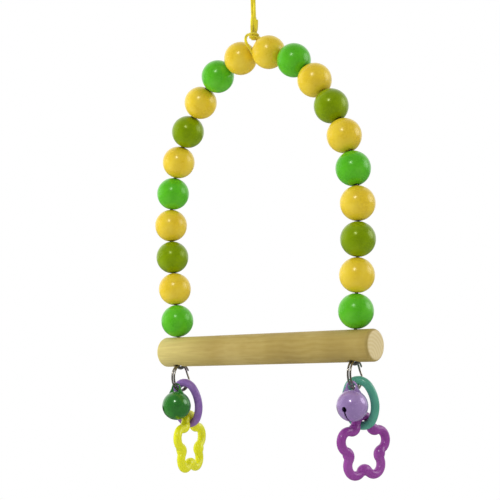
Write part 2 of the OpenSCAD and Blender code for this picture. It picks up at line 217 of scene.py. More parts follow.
# The hanger's cord: two strands joined by a loop over the hook, and a loop round the wire.
# "thick" is the cord's own size, and "shown" is across the crowns of its three twisted strands.
cord = {
    "thick": 1.5, "shown": 1.72, "strands": 3, "groove": 0.13, "layLength": 4.6, "sides": 18,
    "step": 0.42,
    "strandHalf": [(-0.86, 0, -39.2), (-0.86, 0, -35), (-0.86, 0, -31), (-0.86, 0, -27),
                   (-0.86, 0, -23), (-1, 0, -19), (-1.5, 0, -15.5), (-2.3, 0, -12), (-3.1, 0, -9),
                   (-3.7, 0, -6.2), (-4, 0, -4), (-3.8, 0, -2), (-3, 0, -0.5), (-1.6, 0, 0.4)],
    "strandTop": [(0, 0, 0.75)],
    "loopHalf": [(0, -2, -49.7), (0, -4, -49.8), (0, -6, -50.4), (0, -7.6, -51.8),
                 (0, -8.2, -53.8), (0, -7.4, -55.6), (0, -5.6, -57.2), (0, -3.8, -58.8),
                 (0, -2.4, -60.2), (0, -1.3, -61.4)],
    "loopFoot": [(0, 0, -61.9)],
}


def bothHalves(half, middle, flip):
    # the second half is the first one backwards, with the given axis turned round
    half = np.array(half, float) * mm
    return np.vstack([half, np.array(middle, float) * mm, half[::-1] * np.array(flip)])


def makeCord(name, node, body, route, side):
    # a twisted tube along the route made finer
    smooth = finer(route, cord["step"] * mm)
    tube = carryProfile(smooth, side, cord["shown"] / 2 * mm, cord["sides"], twist=cord)
    piece = standIn(makePiece(name, [tube]), body, "cord", node)
    return piece


hangerRoute = bothHalves(cord["strandHalf"], cord["strandTop"], (-1, 1, 1))
loopRoute = bothHalves(cord["loopHalf"], cord["loopFoot"], (1, -1, 1))
cordPieces = [makeCord("hangerCord", "hanger_cord", "hook_cord", hangerRoute, (0, 1, 0)),
              makeCord("wireLoop", "wire_loop", "knot", loopRoute, (1, 0, 0))]

# The knot: four strands side by side that spread a little on their way down, bound at the foot by
# wider turns round a core, and a tail that leans a little away as it rises to its cut end.
# "quarter" is near enough a quarter turn, in radians, and "swell" is listed from the top down.
knot = {
    "top": -39.0, "foot": -47.8, "strandTurns": (-96, -6, 84, 174), "strand": 2.1,
    "swell": (0.95, 1.2, 1.35, 1.45, 1.45, 1.3), "steps": 30, "sides": 16, "quarter": 1.57,
    "turnFrom": -48.2, "turnRound": 2.2, "turnPitch": 1.86, "turns": 1.9, "turnThick": 1.84,
    "turnStart": 2.2, "turnSteps": 44, "turnSides": 14,
    "core": 1.9, "coreAbove": 0.5, "coreBelow": 3.9, "coreSteps": 8,
    "tailTop": -40.4, "tailFoot": -46.6, "tailAcross": 1.95, "tailTurn": 20, "tailLean": 0.4,
}


def upright(k, out, turn, low, high, thick):
    # point = out from the knot's axis in the turn's direction, and evenly up from low to high
    a = math.radians(turn)
    t = np.linspace(0, 1, k["steps"])
    route = np.stack([out * math.cos(a), out * math.sin(a), low + (high - low) * t], 1) * mm
    side = (math.cos(a + k["quarter"]), math.sin(a + k["quarter"]), 0)
    return carryProfile(route, side, thick / 2 * mm, k["sides"], twist=cord)


def makeKnot(k):
    # the binding = a circle round the axis that drops one pitch a turn
    angle = np.linspace(0, k["turns"] * 2 * math.pi, int(k["turns"] * k["turnSteps"]))
    angle = angle + k["turnStart"]
    radial = np.stack([np.cos(angle), np.sin(angle), 0 * angle], 1)
    drop = k["turnFrom"] - k["turnPitch"] * (angle - angle[0]) / (2 * math.pi)
    up = np.array([0, 0, 1])
    winding = (radial * k["turnRound"] + drop[:, None] * up) * mm
    parts = [carryProfile(winding, radial, k["turnThick"] / 2 * mm, k["turnSides"], twist=cord)]
    t = np.linspace(0, 1, k["steps"])
    swell = np.interp(t, np.linspace(0, 1, len(k["swell"])), k["swell"][::-1])
    parts += [upright(k, swell, turn, k["foot"], k["top"], k["strand"])
              for turn in k["strandTurns"]]
    core = np.linspace(k["turnFrom"] - k["coreBelow"], k["turnFrom"] + k["coreAbove"],
                       k["coreSteps"])
    parts.append(carryProfile(core[:, None] * up * mm, (1, 0, 0), k["core"] * mm, k["sides"]))
    away = k["tailAcross"] - k["tailLean"] * (1 - t) ** 2
    parts.append(upright(k, away, k["tailTurn"], k["tailFoot"], k["tailTop"], cord["shown"]))
    return standIn(makePiece("hangerKnot", parts), "knot", "cord", "hanger_knot")


cordPieces.append(makeKnot(knot))
print("cord, loop and knot made")

# The wire arch: crown arc, shoulder arcs and straight legs, each ending in an eye under the perch.
arch = {"thick": 2.0, "crownR": 50.2, "crownAngle": 48, "shoulderR": 126.6, "legAngle": 94.3,
        "hang": 60, "eyeR": 3.1, "eyeFoot": -245.6, "bendR": 1.6, "sweep": 300, "sides": 20,
        "eyeSteps": 48, "bendSteps": 12, "legShown": 20, "legSteps": 6, "bowSteps": 90}


def wireAlong(a):
    # direction of the wire where it slopes by a degrees from level: (cos a, 0, -sin a)
    a = np.radians(a)
    return np.stack([np.cos(a), 0 * a, -np.sin(a)], -1)


def wireOutward(a):
    # square to that direction, away from the arch's inside: (sin a, 0, cos a)
    a = np.radians(a)
    return np.stack([np.sin(a), 0 * a, np.cos(a)], -1)


crownMiddle = np.array([0, 0, -arch["hang"] - arch["crownR"]])
shoulderMiddle = (crownMiddle
                  + (arch["crownR"] - arch["shoulderR"]) * wireOutward(arch["crownAngle"]))
legTop = shoulderMiddle + arch["shoulderR"] * wireOutward(arch["legAngle"])
crownRun = arch["crownR"] * math.radians(arch["crownAngle"])
legRun = crownRun + arch["shoulderR"] * math.radians(arch["legAngle"] - arch["crownAngle"])
legReach = (legTop[2] - arch["eyeFoot"] - arch["eyeR"]) / math.sin(math.radians(arch["legAngle"]))
eyeMiddle = legTop + legReach * wireAlong(arch["legAngle"])


def wireSlope(s):
    # slope in degrees after a run s from the middle: even over each arc, and steady on the leg
    return np.interp(s, [0, crownRun, legRun], [0, arch["crownAngle"], arch["legAngle"]])


def wirePoint(s):
    # on an arc, its middle plus its radius outward; on the leg, its top plus the rest of the run
    s = s[..., None]
    outward = wireOutward(wireSlope(s)[..., 0])
    crown = crownMiddle + arch["crownR"] * outward
    shoulder = shoulderMiddle + arch["shoulderR"] * outward
    leg = legTop + (s - legRun) * wireAlong(arch["legAngle"])
    return np.where(s < crownRun, crown, np.where(s < legRun, shoulder, leg))


def makeWire(w):
    # the eye is most of a circle, then a short bend back on to the leg, where the two circles touch
    rise = math.sqrt(w["eyeR"] ** 2 + 2 * w["bendR"] * w["eyeR"])
    span = math.degrees(math.atan2(rise, w["bendR"]))
    ringed = np.radians(span - w["sweep"] * (1 - np.linspace(0, 1, w["eyeSteps"])))
    bend = np.radians(180 + span * (1 - np.linspace(0, 1, w["bendSteps"])[1:]))
    across = np.concatenate([w["eyeR"] * np.cos(ringed), w["bendR"] * (1 + np.cos(bend))])
    height = np.concatenate([w["eyeR"] * np.sin(ringed), rise + w["bendR"] * np.sin(bend)])
    eye = (eyeMiddle - across[:, None] * wireOutward(w["legAngle"])
           - height[:, None] * wireAlong(w["legAngle"]))
    run = np.concatenate([np.linspace(legRun + w["legShown"], legRun, w["legSteps"]),
                          np.linspace(legRun, 0, w["bowSteps"])[1:]])
    half = np.vstack([eye, wirePoint(run)])
    route = np.vstack([half, half[-2::-1] * np.array([-1, 1, 1])]) * mm
    tube = carryProfile(route, (0, 1, 0), w["thick"] / 2 * mm, w["sides"])
    return standIn(makePiece("archWire", [tube]), "arch", "wire", "wire_arch")


wirePiece = makeWire(arch)
print("wire arch made")

# Beads, threaded square to the bow of the wire inside each of them. "first" is the run of the
# first one's middle, "shadeReach" how far the painted shade in a bore's mouth reaches, and "grain"
# moves each bead's own place on in the wood, by its number along x and z and by its side along y, in metres.
bead = {"wide": 19.8, "bore": 3.4, "ease": 0.25, "gap": 0.05, "first": 10.85, "count": 10,
        "around": 64, "steps": 40, "easeSteps": 7, "wallSteps": 4, "shadeReach": 1.6,
        "grain": (0.031, 0.057, 0.043)}
beadSlots = ["bead_yellow", "bead_bright_green", "bead_yellow", "bead_olive"]


def beadProfile(b):
    # most of a circle, then a rounded edge into the bore, and the bore's wall back to the start
    big, bore, ease = b["wide"] / 2, b["bore"] / 2, b["ease"]
    lift = math.sqrt((big - ease) ** 2 - (bore + ease) ** 2)
    pole = math.atan2(bore + ease, lift)
    a = np.linspace(pole, math.pi - pole, b["steps"])
    edge = np.linspace(math.pi - pole, 2 * math.pi - math.pi / 2, b["easeSteps"])[1:]
    lowR = bore + ease + ease * np.sin(edge)
    lowZ = -lift + ease * np.cos(edge)
    wall = np.linspace(-lift, lift, b["wallSteps"])[1:-1]
    r = np.concatenate([big * np.sin(a), lowR, np.full(len(wall), bore), lowR[::-1]])
    z = np.concatenate([big * np.cos(a), lowZ, wall, -lowZ[::-1]])
    return r * mm, z * mm


def bowAt(b, s):
    # the arc's radius at the run s, and half of the arc's bow inside a bead there
    r = arch["crownR"] if s < crownRun else arch["shoulderR"]
    return r, (b["wide"] / 2) ** 2 / (4 * r)


def beadRuns(b):
    # each bead's middle is one bead and its gap on from the last, as a chord of the bowed wire
    runs, step = [b["first"]], b["wide"] + b["gap"]
    while len(runs) < b["count"]:
        s = runs[-1]
        r, bow = bowAt(b, s)
        runs.append(s + (2 * r * math.asin(step / (2 * (r - bow))) if s < legRun else step))
    return runs


def makeBeads(b):
    # one spun solid, with its bore turned along the wire's slope at each bead's run
    r, z = beadProfile(b)
    solid = spunProfile(r, z, b["around"])
    points = solid[0]
    # 1 in the bore's mouth, falling to 0 a little way out over the bead
    away = np.hypot(points[:, 0], points[:, 1]) / mm - b["bore"] / 2
    rim = np.clip(1 - away / b["shadeReach"], 0, 1)
    made = []
    for i, s in enumerate(beadRuns(b)):
        a = float(wireSlope(s))
        bow = bowAt(b, s)[1] if s < legRun else 0
        spot = (wirePoint(np.array(s)) - bow * wireOutward(a)) * mm
        slot = beadSlots[i % len(beadSlots)]
        for side, word in ((-1, "left"), (1, "right")):
            lean = math.radians(90 + a) * side
            turn = np.array([[math.cos(lean), 0, math.sin(lean)], [0, 1, 0],
                             [-math.sin(lean), 0, math.cos(lean)]])
            own = points + np.array(b["grain"]) * (i, side, i)
            piece = makePiece(f"bead{word.capitalize()}{i + 1}", [solid],
                              (turn, spot * np.array([side, 1, 1])), own, rim)
            made.append((standIn(piece, f"bead_{word}_{i + 1}_body", slot,
                                 f"bead_{word}_{i + 1}"), slot))
    return made


beadPieces = makeBeads(bead)
print(len(beadPieces), "beads made")

# Split rings: two flat turns of wire joined by one slanting step. "end" is where the wire starts,
# in degrees, and each cut end thins to "cutThick" of the wire over "cutLong" degrees.
splitRing = {"wide": 17.0, "wire": 1.1, "pitch": 1.54, "step": 24, "end": 30, "stepPlace": 90,
             "top": -243.485, "sides": 14, "around": 170, "cutLong": 5, "cutThick": 0.72}
toys = {
    "left": {"side": -1, "ringTurn": 96, "ovalTurn": 6, "starTurn": 105,
             "oval": "plastic_violet", "star": "plastic_lemon"},
    "right": {"side": 1, "ringTurn": 99, "ovalTurn": 9, "starTurn": 77,
              "oval": "plastic_teal", "star": "plastic_purple"},
}
ringRound = (splitRing["wide"] - splitRing["wire"]) / 2
ringHeight = splitRing["top"] - ringRound
eyeSpot = float(eyeMiddle[0])


def aboutUpright(degrees):
    # a turn about the upright axis, as a matrix
    a = math.radians(degrees)
    return np.array([[math.cos(a), -math.sin(a), 0], [math.sin(a), math.cos(a), 0], [0, 0, 1]])


def inToy(toy, turn, out, height):
    # turned about the upright, and set out from the eye along the ring's own direction
    a = math.radians(toy["ringTurn"])
    spot = np.array([toy["side"] * eyeSpot + out * math.cos(a), out * math.sin(a), height]) * mm
    return aboutUpright(turn), spot


def makeRing(word, toy, s):
    # point = (round * sin(angle), shift, -round * cos(angle)), where the shift is half a pitch to
    # one side on the first turn, half to the other on the second, and a sine's rise between them
    t = np.linspace(s["end"], 720 - s["end"], s["around"])
    a = np.radians(t + s["stepPlace"])
    shift = np.sin(np.clip((t - 360) / s["step"], -1, 1) * math.pi / 2) * s["pitch"] / 2
    route = np.stack([ringRound * np.sin(a), shift, -ringRound * np.cos(a)], 1) * mm
    cuts = [s["end"], s["end"] + s["cutLong"], 720 - s["end"] - s["cutLong"], 720 - s["end"]]
    taper = np.interp(t, cuts, [s["cutThick"], 1, 1, s["cutThick"]])
    tube = carryProfile(route, (0, 1, 0), taper * s["wire"] / 2 * mm, s["sides"])
    place = inToy(toy, toy["ringTurn"], 0, ringHeight)
    piece = makePiece(f"splitRing{word.capitalize()}", [tube], place)
    return standIn(piece, f"ring_{word}", "ring_steel", f"split_ring_{word}")


# Plastic links, every curve of them an arc that runs smoothly into the next. "swell" thickens the
# star's bar in its notches, and the steps are points to an arc.
link = {"thick": 4.8, "starThick": 5.1, "sides": 28, "ovalHigh": 30.3, "ovalWide": 22.1,
        "ovalEnd": 7.0, "starReach": 19.9, "lobe": 5.6, "notch": 12.25, "lobes": 5, "hang": 0.45,
        "rest": 45, "gap": 0.5, "lean": 11.0984, "swell": 0.26,
        "flatSteps": 34, "endSteps": 40, "lobeSteps": 30, "notchSteps": 14}


def arcPoints(middle, r, start, end, steps):
    # point = middle + r * (cos(angle), sin(angle)), from one angle above level towards another
    a = np.radians(start + (end - start) * np.arange(steps) / steps)
    return np.stack([middle[0] + r * np.cos(a), middle[1] + r * np.sin(a)], 1)


def turnedFlat(points, degrees):
    # flat points turned leftwards about their middle
    a = math.radians(degrees)
    return points @ np.array([[math.cos(a), math.sin(a)], [-math.sin(a), math.cos(a)]])


def ovalRoute(k):
    # one flat side arc and one end arc that touch where both have the same direction, and again
    high, wide = (k["ovalHigh"] - k["thick"]) / 2, (k["ovalWide"] - k["thick"]) / 2
    end = k["ovalEnd"]
    flat = (wide ** 2 + (high - end) ** 2 - end ** 2) / (2 * (wide - end))
    span = math.degrees(math.atan((high - end) / (flat - wide)))
    half = np.vstack([arcPoints((wide - flat, 0), flat, -span, span, k["flatSteps"]),
                      arcPoints((0, high - end), end, span, 180 - span, k["endSteps"])])
    return np.vstack([half, turnedFlat(half, 180)]), high


def starRoute(k):
    # lobe arcs and notch arcs in turn, each notch arc touching the two lobes beside it
    half = 180 / k["lobes"]
    c, s = math.cos(math.radians(half)), math.sin(math.radians(half))
    out = k["starReach"] - k["starThick"] / 2 - k["lobe"]
    bend = (k["lobe"] ** 2 - out ** 2 - k["notch"] ** 2 + 2 * out * k["notch"] * c)
    bend = bend / (2 * (k["notch"] - out * c - k["lobe"]))
    dip = k["notch"] + bend
    span = math.degrees(math.atan2(dip * s, dip * c - out))
    one = np.vstack([arcPoints((out, 0), k["lobe"], -span, span, k["lobeSteps"]),
                     arcPoints((dip * c, dip * s), bend, span + 180, 2 * half - span + 180,
                               k["notchSteps"])])
    # the bar is thickest in the middle of each notch, by a half sine over the notch's arc
    along = (np.arange(k["notchSteps"]) + 0.5) / k["notchSteps"]
    swell = np.concatenate([np.zeros(k["lobeSteps"]), np.sin(math.pi * along)])
    # the oval's foot sits just under the top of the top lobe, this high over the star's middle
    foot = out + k["lobe"] - (k["starThick"] + k["thick"]) / 2 - k["gap"]
    return (np.vstack([turnedFlat(one, 90 + 2 * half * i) for i in range(k["lobes"])]),
            1 + k["swell"] * np.tile(swell, k["lobes"]), foot)


def makeLink(kind, word, slot, flat, radius, lean, place):
    # an upright flat route, leaned about its own level axis
    a = math.radians(lean)
    route = np.stack([flat[:, 0], -flat[:, 1] * math.sin(a), flat[:, 1] * math.cos(a)], 1) * mm
    tube = carryProfile(route, (0, math.cos(a), math.sin(a)), radius * mm, link["sides"], True)
    piece = makePiece(f"{kind}Link{word.capitalize()}", [tube], place)
    return standIn(piece, f"{kind}_{word}", slot, f"{kind}_link_{word}"), slot


# where an oval hangs on the inside of its ring, out from the ring's middle and down from it
ringInside = ringRound - splitRing["wire"] / 2 - link["thick"] / 2 - link["hang"]
linkOut = ringInside * math.sin(math.radians(link["rest"]))
linkTop = ringHeight - ringInside * math.cos(math.radians(link["rest"]))
lean = math.radians(link["lean"])
flatOval, ovalHalf = ovalRoute(link)
flatStar, barSwell, footHigh = starRoute(link)

ringPieces, linkPieces = [], []
for word, toy in toys.items():
    ringPieces.append(makeRing(word, toy, splitRing))
    # the oval's top stays on the ring while it leans away from the bell
    place = inToy(toy, toy["ovalTurn"], linkOut, linkTop)
    linkPieces.append(makeLink("oval", word, toy["oval"], flatOval - np.array([0, ovalHalf]),
                               link["thick"] / 2, link["lean"], place))
    # the star hangs on the oval's foot, out from the ring by what the oval's lean adds
    starTop = linkTop - 2 * ovalHalf * math.cos(lean)
    turn, spot = inToy(toy, toy["starTurn"], linkOut, starTop - footHigh)
    out = math.radians(toy["ovalTurn"] + 90)
    sideways = np.array([math.cos(out), math.sin(out), 0]) * 2 * ovalHalf * math.sin(lean) * mm
    linkPieces.append(makeLink("star", word, toy["star"], flatStar,
                               barSwell * link["starThick"] / 2, 0, (turn, spot + sideways)))
print("rings and links made")

# Effects that several finishes share, each a group with named sockets.

def newGroup(name, ins, outs):
    # each socket's kind is v for a vector, f for a value or c for a colour
    group = bpy.data.node_groups.new(name, "ShaderNodeTree")
    kinds = {"v": "NodeSocketVector", "f": "NodeSocketFloat", "c": "NodeSocketColor"}
    for way, sockets in (("INPUT", ins), ("OUTPUT", outs)):
        for word, kind in sockets.items():
            group.interface.new_socket(word, in_out=way, socket_type=kinds[kind])
    start, end = group.nodes.new("NodeGroupInput"), group.nodes.new("NodeGroupOutput")
    return group, start.outputs, end.inputs


def feed(tree, socket, value):
    # a value that is a socket is linked, any other is set
    if isinstance(value, bpy.types.NodeSocket):
        tree.links.new(value, socket)
    else:
        socket.default_value = value


def put(tree, kind, sockets=None, **settings):
    # adds a node, with its settings first and then its inputs, by their names or numbers
    node = tree.nodes.new(kind)
    for key, value in settings.items():
        setattr(node, key, value)
    for key, value in (sockets or {}).items():
        feed(tree, node.inputs[key], value)
    return node


def sums(tree, operation, *values):
    return put(tree, "ShaderNodeMath", dict(enumerate(values)), operation=operation).outputs[0]


def between(tree, share, a, b):
    # colour a where share is 0, colour b where it is 1
    return put(tree, "ShaderNodeMix", {0: share, 6: a, 7: b}, data_type="RGBA").outputs[2]


def ranged(tree, value, span, onto):
    # the span's two ends, brought evenly on to two new ones
    return put(tree, "ShaderNodeMapRange",
               {0: value, 1: span[0], 2: span[1], 3: onto[0], 4: onto[1]}).outputs[0]


def noise(tree, place, size, detail, rough=0.5):
    return put(tree, "ShaderNodeTexNoise", {"Vector": place, "Scale": size, "Detail": detail,
                                            "Roughness": rough}).outputs[0]


fibreSet = {"detail": 6.0, "rough": 0.62, "streaks": (0.36, 0.66), "broad": 38.0,
            "broadDetail": 2.0, "broadFrom": (0.35, 0.7), "broadTo": (0.3, 1.0), "bend": 5.0,
            "bandDetail": 2.0, "bandDetailSize": 0.8, "streakHigh": 0.6, "bandHigh": 0.4}


def makeFibre(f):
    # noise stretched along one direction gives the streaks, and a bent wave gives the yearly bands
    g, start, end = newGroup("woodFibre", {"Place": "v", "Along": "v", "Fineness": "f",
                                           "Bands": "f"},
                             {"Streak": "f", "Band": "f", "Height": "f"})
    stretched = put(g, "ShaderNodeVectorMath", {0: start["Place"], 1: start["Along"]},
                    operation="MULTIPLY").outputs[0]
    fine = noise(g, stretched, start["Fineness"], f["detail"], f["rough"])
    broad = noise(g, start["Place"], f["broad"], f["broadDetail"])
    wave = put(g, "ShaderNodeTexWave",
               {"Vector": start["Place"], "Scale": start["Bands"], "Distortion": f["bend"],
                "Detail": f["bandDetail"], "Detail Scale": f["bandDetailSize"]},
               bands_direction="Z")
    streak = ranged(g, fine, f["streaks"], (0.0, 1.0))
    band = sums(g, "MULTIPLY", wave.outputs["Fac"], ranged(g, broad, f["broadFrom"], f["broadTo"]))
    feed(g, end["Streak"], streak)
    feed(g, end["Band"], band)
    feed(g, end["Height"], sums(g, "MULTIPLY_ADD", streak, f["streakHigh"],
                                sums(g, "MULTIPLY", band, f["bandHigh"])))
    return g


unevenSet = {"detail": 4.0, "rough": 0.55, "deepFrom": (0.5, 0.25), "paleFrom": (0.5, 0.75)}


def makeUneven(u):
    # slow noise moves a colour towards a deeper one below its middle and a paler one above it
    g, start, end = newGroup("unevenTone", {"Place": "v", "Size": "f", "Colour": "c", "Deep": "c",
                                            "Pale": "c", "Strength": "f"},
                             {"Colour": "c", "Mask": "f"})
    slow = noise(g, start["Place"], start["Size"], u["detail"], u["rough"])
    down = sums(g, "MULTIPLY", ranged(g, slow, u["deepFrom"], (0.0, 1.0)), start["Strength"])
    up = sums(g, "MULTIPLY", ranged(g, slow, u["paleFrom"], (0.0, 1.0)), start["Strength"])
    deeper = between(g, down, start["Colour"], start["Deep"])
    feed(g, end["Colour"], between(g, up, deeper, start["Pale"]))
    feed(g, end["Mask"], slow)
    return g


handlingSet = {"detail": 5.0, "rough": 0.7, "dents": (0.6, 0.78), "scratchWide": (0.0, 0.05),
               "scratched": (0.48, 0.6)}


def makeHandling(h):
    # thin bent scratches and small dents where the pieces are handled and pecked
    g, start, end = newGroup("handling", {"Place": "v", "Size": "f", "Amount": "f"},
                             {"Mask": "f", "Height": "f"})
    where = noise(g, start["Place"], start["Size"], h["detail"], h["rough"])
    lines = put(g, "ShaderNodeTexVoronoi", {"Vector": start["Place"], "Scale": start["Size"]},
                feature="DISTANCE_TO_EDGE")
    thin = ranged(g, lines.outputs["Distance"], h["scratchWide"], (1.0, 0.0))
    dents = ranged(g, where, h["dents"], (0.0, 1.0))
    scratches = sums(g, "MULTIPLY", thin, ranged(g, where, h["scratched"], (0.0, 1.0)))
    mask = sums(g, "MULTIPLY", sums(g, "MAXIMUM", dents, scratches), start["Amount"])
    feed(g, end["Mask"], mask)
    feed(g, end["Height"], sums(g, "SUBTRACT", 1.0, mask))
    return g


fibre, uneven, handling = makeFibre(fibreSet), makeUneven(unevenSet), makeHandling(handlingSet)
print("shared effects made")


# Every finish has its colours (0 to 255, as a screen shows them) and its look. In a look, "tone" is
# the size and strength of the uneven tone, "knocks" the size and amount of the scratches and dents,
# "rough" the roughness over the range "roughFrom" of its masks, and "bump" its strength and depth.

def linear(rgb):
    # the screen's colour, 0 to 255, as the light that Blender works with
    c = np.array(rgb, float) / 255
    c = np.where(c <= 0.04045, c / 12.92, ((c + 0.055) / 1.055) ** 2.4)
    return (float(c[0]), float(c[1]), float(c[2]), 1.0)


def newFinish(name):
    material = bpy.data.materials.new(name)
    material.use_nodes = True
    tree = material.node_tree
    tree.nodes.clear()
    shader = tree.nodes.new("ShaderNodeBsdfPrincipled")
    out = tree.nodes.new("ShaderNodeOutputMaterial")
    tree.links.new(shader.outputs[0], out.inputs[0])
    return material, tree, shader.inputs


def toneOf(tree, place, paint, look):
    return put(tree, "ShaderNodeGroup",
               {"Place": place, "Size": look["tone"][0], "Strength": look["tone"][1],
                "Colour": linear(paint["colour"]), "Deep": linear(paint["deep"]),
                "Pale": linear(paint["pale"])}, node_tree=uneven).outputs


def fibreOf(tree, place, look):
    return put(tree, "ShaderNodeGroup",
               {"Place": place, "Along": look["along"], "Fineness": look["fineness"],
                "Bands": look["bands"]}, node_tree=fibre).outputs


def knocksOf(tree, place, look):
    return put(tree, "ShaderNodeGroup",
               {"Place": place, "Size": look["knocks"][0], "Amount": look["knocks"][1]},
               node_tree=handling).outputs


def roughened(tree, inputs, mask, look):
    feed(tree, inputs["Roughness"], ranged(tree, mask, look["roughFrom"], look["rough"]))


def raised(tree, inputs, height, look):
    strength, depth = look["bump"]
    bump = put(tree, "ShaderNodeBump", {"Height": height, "Strength": strength,
                                        "Distance": depth * mm})
    feed(tree, inputs["Normal"], bump.outputs[0])


def objectPlace(tree):
    return tree.nodes.new("ShaderNodeTexCoord").outputs["Object"]


def flowPlace(tree):
    # along the piece and round its girth, each in metres
    flow = put(tree, "ShaderNodeUVMap", uv_map="flow").outputs[0]
    return put(tree, "ShaderNodeSeparateXYZ", {0: flow}).outputs


# Painted beads: dye over turned wood, with painted shade in the mouth of the bore. "glint" is the tint of the
# varnish's own shine, which the dye shows through.
beadPaints = {
    "bead_yellow": {"colour": (221, 191, 40), "deep": (202, 165, 26), "pale": (231, 207, 76),
                    "shade": (184, 150, 8), "glint": (244, 238, 210)},
    "bead_bright_green": {"colour": (82, 178, 24), "deep": (59, 153, 14), "pale": (109, 196, 54),
                          "shade": (48, 128, 10), "glint": (200, 228, 180)},
    "bead_olive": {"colour": (118, 146, 0), "deep": (96, 122, 0), "pale": (140, 166, 16),
                   "shade": (78, 98, 0), "glint": (215, 235, 60)},
}
beadLook = {"tone": (110.0, 0.55), "along": (9, 9, 1), "fineness": 120.0, "bands": 120.0,
            "knocks": (260.0, 0.5), "grain": 0.1, "boreShade": (0.7, 1.0), "scraped": 0.25,
            "roughFrom": (0.3, 1.1), "rough": (0.24, 0.44), "coat": 0.3, "coatRough": 0.2,
            "bump": (0.2, 0.06)}


def beadFinish(slot, paint, look):
    material, tree, inputs = newFinish(slot + "Paint")
    place = put(tree, "ShaderNodeAttribute", attribute_name="ownPlace").outputs["Vector"]
    tone, wood = toneOf(tree, place, paint, look), fibreOf(tree, place, look)
    knocks = knocksOf(tree, place, look)
    grain = sums(tree, "MULTIPLY", wood["Streak"], look["grain"])
    grained = between(tree, grain, tone["Colour"], linear(paint["deep"]))
    # painted shade in the mouth of the bore, where the beads touch, spread unevenly with the grain
    rim = put(tree, "ShaderNodeAttribute", attribute_name="rim").outputs["Fac"]
    boreShadeShare = sums(tree, "MULTIPLY", rim, ranged(tree, wood["Streak"], (0.0, 1.0), look["boreShade"]))
    boreShade = between(tree, boreShadeShare, grained, linear(paint["shade"]))
    scraped = sums(tree, "MULTIPLY", knocks["Mask"], look["scraped"])
    feed(tree, inputs["Base Color"], between(tree, scraped, boreShade, linear(paint["pale"])))
    roughened(tree, inputs, sums(tree, "ADD", tone["Mask"], knocks["Mask"]), look)
    inputs["Specular Tint"].default_value = linear(paint["glint"])
    inputs["Coat Weight"].default_value = look["coat"]
    inputs["Coat Roughness"].default_value = look["coatRough"]
    raised(tree, inputs, sums(tree, "ADD", wood["Height"], knocks["Height"]), look)
    return material


finishes = {slot: beadFinish(slot, paint, beadLook) for slot, paint in beadPaints.items()}

# Perch: bare dowel with the grain along it, with painted light on its left end and painted shade towards
# the right, and growth rings on its ends about a heart that lies off the dowel's middle, at the given y and z.
perchWood = {"colour": (168, 145, 72), "deep": (140, 116, 50), "pale": (192, 172, 106),
             "litEnd": (216, 202, 122), "endPale": (216, 198, 148), "end": (198, 174, 114)}
perchLook = {"tone": (34.0, 0.55), "along": (1, 16, 16), "fineness": 46.0, "bands": 95.0,
             "litEndFrom": (-0.076, -0.028), "litEndTo": (0.15, 1.0), "streaks": 0.3,
             "bandShare": 0.22, "heart": (-0.006, -0.243), "rings": 150.0, "ringBend": 2.2,
             "ringDetail": 2.0, "ringDetailSize": 1.2, "ringShare": 0.5, "endFrom": (0.72, 0.95),
             "roughFrom": (0.0, 1.0), "rough": (0.52, 0.68), "bump": (0.5, 0.1)}


def perchFinish(p, look):
    material, tree, inputs = newFinish("perchWood")
    place = objectPlace(tree)
    tone, wood = toneOf(tree, place, p, look), fibreOf(tree, place, look)
    parts = put(tree, "ShaderNodeSeparateXYZ", {0: place}).outputs
    # painted light and shade: the colour goes from a lit left end to a darker, painted-shade tone further right
    litEnd = ranged(tree, parts[0], look["litEndFrom"], look["litEndTo"])
    along = between(tree, litEnd, linear(p["litEnd"]), tone["Colour"])
    streaks = sums(tree, "MULTIPLY", wood["Streak"], look["streaks"])
    streaked = between(tree, streaks, along, linear(p["deep"]))
    bands = sums(tree, "MULTIPLY", wood["Band"], look["bandShare"])
    banded = between(tree, bands, streaked, linear(p["pale"]))
    # growth rings: bent circles about the heart, seen where the surface faces along the dowel
    flat = put(tree, "ShaderNodeCombineXYZ",
               {1: sums(tree, "SUBTRACT", parts[1], look["heart"][0]),
                2: sums(tree, "SUBTRACT", parts[2], look["heart"][1])}).outputs[0]
    rings = put(tree, "ShaderNodeTexWave",
                {"Vector": flat, "Scale": look["rings"], "Distortion": look["ringBend"],
                 "Detail": look["ringDetail"], "Detail Scale": look["ringDetailSize"]},
                wave_type="RINGS", rings_direction="X")
    ringed = sums(tree, "MULTIPLY", rings.outputs["Fac"], look["ringShare"])
    endTone = between(tree, ringed, linear(p["endPale"]), linear(p["end"]))
    normal = tree.nodes.new("ShaderNodeNewGeometry").outputs["Normal"]
    facing = put(tree, "ShaderNodeSeparateXYZ", {0: normal}).outputs[0]
    ending = ranged(tree, sums(tree, "ABSOLUTE", facing), look["endFrom"], (0.0, 1.0))
    feed(tree, inputs["Base Color"], between(tree, ending, banded, endTone))
    roughened(tree, inputs, wood["Streak"], look)
    raised(tree, inputs, wood["Height"], look)
    return material


finishes["perch_wood"] = perchFinish(perchWood, perchLook)

# Cord: twisted strands of fine yarn, whose lines slant on the unrolled surface.
cordYarn = {"colour": (232, 214, 4), "deep": (180, 160, 0), "pale": (244, 232, 60)}
cordLook = {"tone": (210.0, 0.8), "slant": (5200.0, 6400.0), "fuzz": 900.0, "fuzzDetail": 3.0,
            "fuzzPush": 2.5, "shadow": (0.4, 0.0), "roughFrom": (0.3, 0.7), "rough": (0.62, 0.85),
            "sheen": 0.25, "yarnHigh": 0.5, "bump": (0.6, 0.12)}


